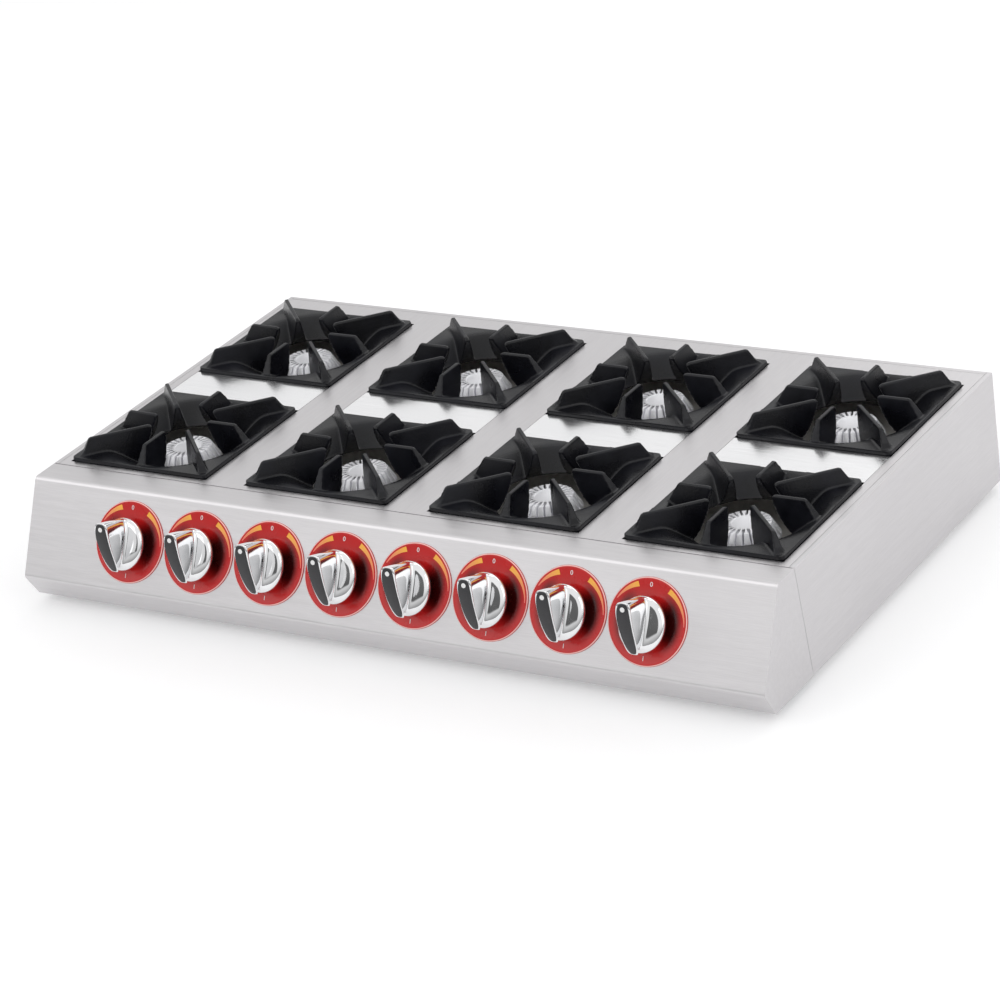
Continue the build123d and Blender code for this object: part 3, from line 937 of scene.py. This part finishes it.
@dataclass
class CastGrate(Assembly):
    """Square cast-iron grate with a dished middle and eight drafted fingers."""

    side: float = 0.198
    corner: float = 0.005
    drop: float = 0.007
    rise: float = 0.005
    wall: float = 0.006
    lip: float = 0.103
    dish: Section = (
        (0.0985, 0.0047), (0.0940, 0.0037), (0.0895, 0.0017), (0.0850, -0.0010),
        (0.0800, -0.0045), (0.0750, -0.0083), (0.0700, -0.0120), (0.0660, -0.0152),
        (0.0630, -0.0165),
    )
    dish_under: Section = (
        (0.0642, -0.0180), (0.0668, -0.0180), (0.0700, -0.0165), (0.0745, -0.0130),
        (0.0795, -0.0092), (0.0845, -0.0055), (0.0895, -0.0022), (0.0940, -0.0003),
        (0.0945, 0.0030),
    )
    finger_thick: float = 0.0046
    finger_draft: float = 0.35
    finger_rise: float = 0.025
    finger_tip: Section = (
        (0.0650, -0.0165), (0.0590, -0.0135), (0.0520, -0.0060), (0.0455, 0.0040),
        (0.0405, 0.0140), (0.0375, 0.0215), (0.0393, 0.0242), (0.0420, 0.0250),
    )
    short_end: float = 0.0795
    short_foot: float = 0.0925
    short_knee: float = 0.015
    long_end: float = 0.116
    long_foot: float = 0.133
    long_knee: float = 0.0105
    finger_root: Section = ((0.096, 0.0022), (0.088, -0.0015), (0.079, -0.0075), (0.070, -0.0140))
    finger_shoulder: Span = (0.002, 0.0012)
    knee_share: float = 0.45
    facets: int = 96
    voxel: float = 0.00125
    kept_share: float = 0.32

    def border(self) -> Piece:
        """The square border: a block with rounded corners, hollow below, dished in its middle.

        Returns:
            The border.
        """
        height = self.rise + self.drop
        piece = Bench.block((self.side, self.side, height), (0, 0, self.rise - height / 2))
        Bench.open(piece, "FACE")
        Bench.pick("faces", lambda m: m.z < 1e-4 - self.drop)
        bpy.ops.mesh.inset(thickness=self.wall)
        Bench.extrude((0, 0, self.drop))
        bpy.ops.mesh.select_mode(type="EDGE")
        reach = self.side / 2 - 1e-4
        Bench.pick("edges", lambda m: abs(m.x) > reach and abs(m.y) > reach)
        bpy.ops.mesh.bevel(offset=self.corner, segments=5, affect="EDGES")
        Bench.close()
        above = [(self.lip, self.rise), *self.dish, (0.0, self.dish[-1][1])]
        above += [(0.0, height), (self.lip, height)]
        Bench.cut(piece, Bench.turned(above, self.facets))
        return piece

    def bowl(self) -> Piece:
        """The shell under the dish, down to the edge of the hole."""
        return Bench.turned([*self.dish[1:], *self.dish_under], self.facets)

    def finger(self, index: int) -> Piece:
        """One upright finger, drafted from its top down, with a tip that leans back under itself.

        Args:
            index: Which finger; odd ones run to the corners.

        Returns:
            The finger, turned to its place.
        """
        if index % 2:
            end, foot, knee = self.long_end, self.long_foot, self.long_knee
        else:
            end, foot, knee = self.short_end, self.short_foot, self.short_knee
        back, down = self.finger_shoulder
        outline = [*self.finger_tip, (end - back, self.finger_rise), (end, self.finger_rise - down)]
        outline += [(end + (foot - end) * self.knee_share, knee), (foot, self.rise / 2)]
        outline += self.finger_root if foot > self.lip else self.finger_root[1:]
        half = self.finger_thick / 2
        piece = Bench.slab([(r, -half, z) for r, z in outline], (0, 2 * half, 0))
        Bench.open(piece)
        for vertex in bmesh.from_edit_mesh(piece.data).verts:
            vertex.co.y *= 1 + (self.finger_rise - vertex.co.z) * self.finger_draft / self.finger_thick
        Bench.close()
        Bench.turn(piece, index * math.pi / 4)
        return piece

    def pattern(self) -> Piece:
        """One whole casting about its own axis, with the top sheet at z = 0.

        Returns:
            The casting.
        """
        parts = [self.border(), self.bowl(), *[self.finger(index) for index in range(8)]]
        piece = Bench.join(parts)
        Bench.modify(piece, "REMESH", mode="VOXEL", voxel_size=self.voxel, adaptivity=0.0)
        Bench.modify(piece, "SMOOTH", factor=0.5, iterations=3)
        Bench.modify(piece, "DECIMATE", ratio=self.kept_share)
        Bench.smooth(piece, 60)
        return piece

    def build(self) -> list[Piece]:
        """Model the casting once and lay a copy in each opening.

        Returns:
            The finished pieces.
        """
        pattern = self.pattern()
        pieces = []
        for number, (x, y) in enumerate(self.layout.burner_axes(), start=1):
            place = Matrix.Translation((x, y, self.layout.top_z))
            piece = Bench.placed(pattern, f"grate_casting_{number}", place)
            self.finishes.dress(piece, "cast_iron")
            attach(piece, f"grate_{number}")
            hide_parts(f"grate_{number}")
            pieces.append(piece)
        Bench.discard(pattern)
        return pieces


@dataclass
class SlottedCrown(Assembly):
    """Aluminium burner crown: a cone with radial slots and a bare flat top."""

    radius: float = 0.0393
    top_radius: float = 0.0298
    edge: float = 0.003
    height: float = 0.020
    spigot: float = 0.0297
    spigot_depth: float = 0.005
    slots: int = 24
    slot_width: float = 0.0022
    slot_inner: float = 0.0190
    slot_floor: float = 0.005
    slot_run_out: float = 0.002
    slot_high: float = 0.02
    top_ring: float = 0.0158
    top_dip: float = 0.0005
    facets: int = 96
    edge_bevel: float = 0.00028

    def pattern(self) -> Piece:
        """One crown about its own axis, with the cup's rim at z = 0.

        Returns:
            The crown.
        """
        section = [
            (0.0, -self.spigot_depth),
            (self.spigot, -self.spigot_depth),
            (self.spigot, 0.0),
            (self.radius - 0.0005, 0.0),
            (self.radius, 0.0006),
            (self.radius, self.edge),
            (self.top_radius + 0.0007, self.height - 0.0009),
            (self.top_radius - 0.0006, self.height),
            (self.top_ring, self.height),
            (self.top_ring - 0.0006, self.height - self.top_dip),
            (0.0, self.height - self.top_dip),
        ]
        piece = Bench.turned(section, self.facets)
        reach = self.radius - self.slot_inner + self.slot_run_out
        middle = (self.slot_inner + reach / 2, 0, self.slot_floor + self.slot_high / 2)
        cutters = []
        for index in range(self.slots):
            cutters.append(Bench.block((reach, self.slot_width, self.slot_high), middle))
            Bench.turn(cutters[-1], 2 * math.pi * (index + 0.5) / self.slots)
        Bench.cut(piece, Bench.join(cutters))
        Bench.bevel(piece, self.edge_bevel, 0.6)
        Bench.smooth(piece, 35)
        return piece

    def build(self) -> list[Piece]:
        """Model the crown once and stand a copy on each cup.

        Returns:
            The finished pieces.
        """
        pattern = self.pattern()
        pieces = []
        for number, (x, y) in enumerate(self.layout.burner_axes(), start=1):
            place = Matrix.Translation((x, y, self.layout.cup_top))
            piece = Bench.placed(pattern, f"slotted_crown_{number}", place)
            self.finishes.dress(piece, "crown_aluminium")
            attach(piece, "casing")
            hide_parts(f"burner_crown_{number}")
            pieces.append(piece)
        Bench.discard(pattern)
        return pieces


@dataclass
class KnobDisc(Assembly):
    """Red disc round a knob, slightly dished, with plain numbers in its two text places."""

    hole: float = 0.014
    radius: float = 0.049
    thick: float = 0.002
    mark_height: float = 0.0075
    mark_place: float = 0.0405
    mark_lift: float = 0.00155
    mark_thick: float = 0.0001
    dish_radius: float = 0.034
    facets: int = 96

    def pattern(self) -> Piece:
        """One disc on its local frame, with a flat map of its face as UV.

        Returns:
            The disc.
        """
        section = [
            (self.hole, 0.0),
            (self.radius, 0.0),
            (self.radius, 0.0008),
            (self.radius - 0.0006, 0.0015),
            (self.radius - 0.0016, self.thick),
            (self.radius - 0.0026, self.thick),
            (self.radius - 0.0050, 0.0016),
            (self.dish_radius, 0.0011),
            (self.hole, 0.0010),
        ]
        piece = Bench.turned(section, self.facets)
        Bench.smooth(piece, 40)
        face = piece.data.uv_layers.new(name="disc")
        for loop in piece.data.loops:
            point = piece.data.vertices[loop.vertex_index].co
            face.data[loop.index].uv = [0.5 + step / (2 * self.radius) for step in point.xy]
        return piece

    def mark(self, digit: str, y: float, name: str, place: Matrix) -> Piece:
        """A plain printed number.

        Args:
            digit: The number.
            y: How far up the disc it stands.
            name: The piece's name.
            place: The knob's frame.

        Returns:
            The number as a thin mesh.
        """
        Bench.clear()
        bpy.ops.object.text_add(location=(0, 0, 0))
        text = bpy.context.object
        text.data.body = digit
        text.data.size = self.mark_height
        text.data.align_x = text.data.align_y = "CENTER"
        text.data.extrude = self.mark_thick
        text.data.resolution_u = 3
        bpy.ops.object.convert(target="MESH")
        piece = bpy.context.object
        piece.data.transform(place @ Matrix.Translation((0, y, self.mark_lift)))
        piece.name = piece.data.name = name
        return piece

    def build(self) -> list[Piece]:
        """Lay a disc round each knob and print its two numbers.

        Returns:
            The finished pieces.
        """
        pattern = self.pattern()
        pieces = []
        for index in range(self.layout.knob_count):
            place = self.layout.knob_place(index)
            disc = Bench.placed(pattern, f"knob_disc_{index + 1}", place)
            self.finishes.dress(disc, "knob_disc_red")
            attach(disc, "casing")
            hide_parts("knob_bezels")
            marks = [
                self.mark("0", self.mark_place, f"off_mark_{index + 1}", place),
                self.mark("1", -self.mark_place, f"low_mark_{index + 1}", place),
            ]
            for mark in marks:
                self.finishes.dress(mark, "printed_white")
                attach(mark, "casing")
            pieces += [disc, *marks]
        Bench.discard(pattern)
        return pieces


@dataclass(frozen=True)
class Level:
    """One ring of the knob's loft.

    half is half its width, low and high are its ends along the blade, power is 2 for
    an ellipse and more for a squarer ring, height is how far out it lies, and lift is
    its share of the way from there to the crest.
    """

    half: float
    low: float
    high: float
    power: float
    height: float
    lift: float


@dataclass
class LeverKnob(Assembly):
    """Chrome lever knob: a round foot that flares into an upright blade with a dark inlay."""

    radius: float = 0.0290
    foot_high: float = 0.0288
    foot_low: float = -0.0345
    foot: float = 0.010
    neck: float = 0.0115
    neck_foot: float = 0.005
    bore: float = 0.0042
    bore_top: float = 0.0325
    blade_half: float = 0.0100
    tail_half: float = 0.0076
    blade_top: float = 0.0205
    blade_tail: float = -0.0358
    crest_high: float = 0.0616
    crest_fall: float = 0.0386
    crest_curve: float = 1.65
    ring: int = 40
    foot_levels: tuple[tuple[float, ...], ...] = (
        (0.0016, 0.0018, 0.0016, 2.0, 0.0),
        (0.0, 0.0, 0.0, 2.0, 0.0006),
        (0.0, 0.0, 0.0, 2.0, 0.0044),
        (0.0010, 0.0010, 0.0008, 2.0, 0.0064),
        (0.0038, 0.0030, 0.0018, 2.05, 0.0080),
    )
    waist_levels: tuple[tuple[float, ...], ...] = (
        (0.0180, -0.0302, 0.0272, 2.15, 0.0096, 0.0),
        (0.0104, -0.0308, 0.0270, 2.5, 0.0106, 0.0),
        (0.0078, -0.0313, 0.0268, 3.0, 0.0112, 0.04),
        (0.0072, -0.0322, 0.0258, 3.4, 0.0112, 0.20),
        (0.0077, -0.0337, 0.0240, 4.0, 0.0112, 0.50),
        (0.0090, -0.0350, 0.0220, 4.4, 0.0112, 0.80),
    )
    blade_levels: Section = ((0.0112, 0.965), (0.0112, 1.0))
    blade_power: float = 4.8
    inlay_edge: float = 0.0014
    inlay_ends: Span = (0.0006, 0.0012)
    inlay_sunk: float = 0.0006
    inlay_thick: float = 0.0011
    inlay_bevel: float = 0.0003
    inlay_power: float = 3.2
    dot_radius: float = 0.0028
    dot_thick: float = 0.0006
    dot_down: float = 0.0076
    dot_lift: float = 0.0004

    def crest(self, y: float) -> float:
        """Height of the blade's outer edge at a place along it."""
        share = max(0.0, (self.blade_top - y) / (self.blade_top - self.blade_tail))
        return self.crest_high - self.crest_fall * share**self.crest_curve

    def half_width(self, y: float) -> float:
        """Half the blade's thickness at a place along it."""
        share = (y - self.blade_tail) / (self.blade_top - self.blade_tail)
        return self.tail_half + (self.blade_half - self.tail_half) * min(1.0, max(0.0, share)) ** 0.6

    def _shape_ring(self, level: Level) -> None:
        """Give the selected ring the outline of one level.

        Args:
            level: The level.
        """
        mesh = bmesh.from_edit_mesh(bpy.context.object.data)
        chosen = sorted((v for v in mesh.verts if v.select), key=lambda v: v.index)
        for order, vertex in enumerate(chosen):
            angle = 2 * math.pi * order / len(chosen)
            c, s = math.cos(angle), math.sin(angle)
            x = math.copysign(abs(c) ** (2 / level.power), c)
            y = math.copysign(abs(s) ** (2 / level.power), s)
            across = (level.low + level.high) / 2 + y * (level.high - level.low) / 2
            taper = self.half_width(across) / self.blade_half
            narrow = 1.0 + (taper - 1.0) * level.lift
            out = level.height + (self.crest(across) - level.height) * level.lift
            vertex.co = (x * level.half * narrow, across, out)
        bmesh.update_edit_mesh(bpy.context.object.data)

    def levels(self) -> list[Level]:
        """The loft's levels: the bore, the neck, the foot and the blade to its crest.

        Returns:
            The levels, from the bore outward.
        """
        turned = [
            (self.bore, self.bore_top),
            (self.bore, self.bore_top - 0.0008),
            (self.bore, self.neck_foot + 0.0006),
            (self.bore + 0.0003, self.neck_foot),
            (self.neck - 0.0005, self.neck_foot),
            (self.neck, self.neck_foot + 0.0005),
            (self.neck, self.foot - 0.0006),
            (self.neck + 0.0006, self.foot),
        ]
        levels = [Level(radius, -radius, radius, 2.0, height, 0.0) for radius, height in turned]
        for inset, low, high, power, rise in self.foot_levels:
            ends = self.foot_low + low, self.foot_high - high
            levels.append(Level(self.radius - inset, *ends, power, self.foot + rise, 0.0))
        for half, low, high, power, rise, lift in self.waist_levels:
            levels.append(Level(half, low, high, power, self.foot + rise, lift))
        blade = self.blade_half, self.blade_tail, self.blade_top, self.blade_power
        return levels + [Level(*blade, self.foot + rise, lift) for rise, lift in self.blade_levels]

    def body(self) -> Piece:
        """The chrome body, lofted ring by ring, with both ends closed.

        Returns:
            The body, before it is smoothed.
        """
        piece = Bench.ring(self.ring)
        first, *others = self.levels()
        self._shape_ring(first)
        for level in others:
            Bench.extrude((0, 0, 0.001))
            self._shape_ring(level)
        bpy.ops.mesh.fill_grid(span=2)
        Bench.pick("edges", lambda m: abs(m.z - self.bore_top) < 1e-5 and m.xy.length < self.bore)
        bpy.ops.mesh.edge_face_add()
        Bench.close()
        return piece

    def inlay(self) -> Piece:
        """The dark strip along the blade's outer edge, round at its top end.

        Returns:
            The strip.
        """
        piece = Bench.ring(self.ring)
        low, high = self.blade_tail + self.inlay_ends[0], self.blade_top - self.inlay_ends[1]
        self._shape_ring(Level(self.blade_half - self.inlay_edge, low, high, self.inlay_power, 0.0, 1.0))
        bpy.ops.mesh.fill_grid(span=2)
        Bench.everything()
        bpy.ops.transform.translate(value=(0, 0, -self.inlay_sunk))
        Bench.extrude((0, 0, self.inlay_thick))
        Bench.close()
        Bench.bevel(piece, self.inlay_bevel, 0.9)
        Bench.smooth(piece, 40)
        return piece

    def dot(self) -> Piece:
        """The white dot that shows where the knob points.

        Returns:
            The dot.
        """
        Bench.clear()
        bpy.ops.mesh.primitive_cylinder_add(vertices=32, radius=self.dot_radius, depth=self.dot_thick)
        piece = bpy.context.object
        Bench.open(piece, "FACE")
        Bench.pick("faces", lambda m: m.z > self.dot_thick / 3)
        bpy.ops.mesh.bevel(offset=0.0002, segments=2, affect="EDGES")
        Bench.close()
        y = self.blade_top - self.dot_down
        step = 0.0005
        slope = (self.crest(y + step) - self.crest(y - step)) / (2 * step)
        lean = Matrix.Rotation(math.atan(slope), 4, "X")
        piece.data.transform(Matrix.Translation((0, y, self.crest(y) + self.dot_lift)) @ lean)
        Bench.smooth(piece, 50)
        return piece

    def build(self) -> list[Piece]:
        """Model the knob once and put a copy on each spindle.

        Returns:
            The finished pieces.
        """
        body = self.body()
        Bench.modify(body, "SUBSURF", levels=2, render_levels=2)
        Bench.smooth(body, 60)
        patterns = [
            (body, "lever_knob", "knob_chrome", "knob_chrome"),
            (self.inlay(), "lever_inlay", "knob_insert", "knob_insert"),
            (self.dot(), "lever_dot", "printed_white", "bezel_marks"),
        ]
        pieces = []
        for index in range(self.layout.knob_count):
            place = self.layout.knob_place(index)
            for pattern, name, finish, slot in patterns:
                piece = Bench.placed(pattern, f"{name}_{index + 1}", place)
                self.finishes.dress(piece, finish)
                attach(piece, f"knob_{index + 1}")
                if name == "lever_knob":
                    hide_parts(f"knob_{index + 1}")
                pieces.append(piece)
        for pattern, *_ in patterns:
            Bench.discard(pattern)
        return pieces


# ---- studio


@dataclass(frozen=True)
class Viewpoint:
    """The photograph's camera, fitted to the grates, the casing's edges and the discs."""

    location: Point = (2.21681, -3.25179, 1.90851)
    right: Point = (0.850969, 0.508415, -0.131780)
    down: Point = (0.117064, -0.428198, -0.896070)
    forward: Point = (-0.512004, 0.747101, -0.423901)
    lens: float = 131.385

    def build(self) -> None:
        """Set the camera up."""
        data = bpy.data.cameras.new("camera")
        data.lens = self.lens
        data.sensor_width = 36.0
        data.sensor_fit = "HORIZONTAL"
        data.clip_end = 50.0
        camera = bpy.data.objects.new("camera", data)
        bpy.context.scene.collection.objects.link(camera)
        axes = Matrix((self.right, -Vector(self.down), -Vector(self.forward))).transposed()
        camera.matrix_world = Matrix.Translation(self.location) @ axes.to_4x4()
        bpy.context.scene.camera = camera


@dataclass
class Studio:
    """Pale floor, white surroundings and soft lamps."""

    floor_size: float = 14.0
    floor_colour: Colour = (0.86, 0.86, 0.865)
    floor_white: float = 0.25
    horizon: float = 0.35
    horizon_top: float = 0.5
    flag_x: Span = (-0.27, 0.06)
    flag_z: Span = (0.28, 0.62)
    flag_dark: float = 0.85
    flag_soft: float = 0.04
    plain_light: float = 0.75
    lamps: tuple[tuple[str, Point, float, float], ...] = (
        ("key_lamp", (-1.6, -2.2, 2.6), 3.4, 24.0),
        ("fill_lamp", (2.8, -0.8, 1.8), 2.6, 14.0),
        ("back_lamp", (0.4, 2.6, 2.2), 2.6, 14.0),
    )
    lamp_aim: Point = (0.0, 0.0, 0.1)

    def seen(self, wiring: Wiring) -> Socket:
        """1 for what the camera sees, straight on, in metal or through glass.

        Args:
            wiring: Wiring of the floor or the world.

        Returns:
            The mask.
        """
        path = wiring.add("ShaderNodeLightPath").outputs
        metal = wiring.math("MAXIMUM", path["Is Camera Ray"], path["Is Glossy Ray"])
        return wiring.math("MAXIMUM", metal, path["Is Transmission Ray"])

    def floor(self) -> None:
        """The floor, which the camera and the metal see white where no shadow falls."""
        Bench.clear()
        bpy.ops.mesh.primitive_plane_add(size=self.floor_size, location=(0, 0, -0.0004))
        floor = bpy.context.object
        floor.name = "floor"
        material, wiring, shader, _ = _shader("floor_paper")
        wiring.feed(shader, Base_Color=(*self.floor_colour, 1.0), Roughness=0.9, Emission_Color=(1, 1, 1, 1))
        glow = wiring.product(self.seen(wiring), self.floor_white)
        wiring.feed(shader, Emission_Strength=glow)
        floor.data.materials.append(material)

    def surroundings(self) -> None:
        """A plain world, white to the camera; metal sees it with a greyer horizon and a dark flag."""
        world = bpy.data.worlds.new("studio")
        bpy.context.scene.world = world
        world.use_nodes = True
        wiring = Wiring(world.node_tree)
        split = wiring.add("ShaderNodeSeparateXYZ")
        wiring.feed(split, Vector=wiring.add("ShaderNodeTexCoord").outputs["Generated"])
        x, y, z = split.outputs
        flag = wiring.math("LESS_THAN", y, 0.0)
        for axis, (low, high) in ((x, self.flag_x), (z, self.flag_z)):
            flag = wiring.product(flag, wiring.ramp(axis, low, low + self.flag_soft))
            flag = wiring.product(flag, wiring.ramp(axis, high - self.flag_soft, high, 1.0, 0.0))
        lit = wiring.math("SUBTRACT", 1.0, wiring.product(flag, self.flag_dark))
        height = wiring.product(wiring.ramp(z, 0.0, self.horizon_top, self.horizon, 1.0), lit)
        straight = wiring.add("ShaderNodeLightPath").outputs["Is Camera Ray"]
        plain = wiring.feed(wiring.add("ShaderNodeBackground"), Color=(1, 1, 1, 1), Strength=self.plain_light)
        white = wiring.feed(wiring.add("ShaderNodeBackground"), Color=(1, 1, 1, 1))
        wiring.feed(white, Strength=wiring.math("MAXIMUM", straight, height))
        seen = self.seen(wiring)
        mix = wiring.add("ShaderNodeMixShader")
        wiring.fill(mix, seen, plain.outputs[0], white.outputs[0])
        wiring.feed(wiring.add("ShaderNodeOutputWorld"), Surface=mix.outputs[0])

    def lamp(self, name: str, place: Point, size: float, power: float) -> None:
        """One soft square lamp.

        Args:
            name: Its name.
            place: Where it hangs.
            size: Its side.
            power: Its power in watts.
        """
        data = bpy.data.lights.new(name, "AREA")
        data.size = size
        data.energy = power
        lamp = bpy.data.objects.new(name, data)
        bpy.context.scene.collection.objects.link(lamp)
        lamp.location = place
        lamp.rotation_euler = (Vector(self.lamp_aim) - Vector(place)).to_track_quat("-Z", "Y").to_euler()

    def build(self) -> None:
        """Set up the floor, the world and the lamps."""
        self.floor()
        self.surroundings()
        for lamp in self.lamps:
            self.lamp(*lamp)
        bpy.context.scene.view_settings.view_transform = "Standard"


def main() -> None:
    """Load the frame, build every sub-assembly and set the studio and the camera up."""
    logging.basicConfig(level=logging.INFO, format="%(name)s: %(message)s")
    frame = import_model()
    layout = StoveLayout()
    finishes = FinishBook()
    log.info("dressed %d CAD nodes", SheetCasing(finishes).dress(frame["nodes"]))
    for assembly in (CastGrate, SlottedCrown, KnobDisc, LeverKnob):
        for piece in assembly(layout, finishes).build():
            log.info("%s: %d faces", piece.name, len(piece.data.polygons))
    Studio().build()
    Viewpoint().build()


if __name__ == "__main__":
    main()
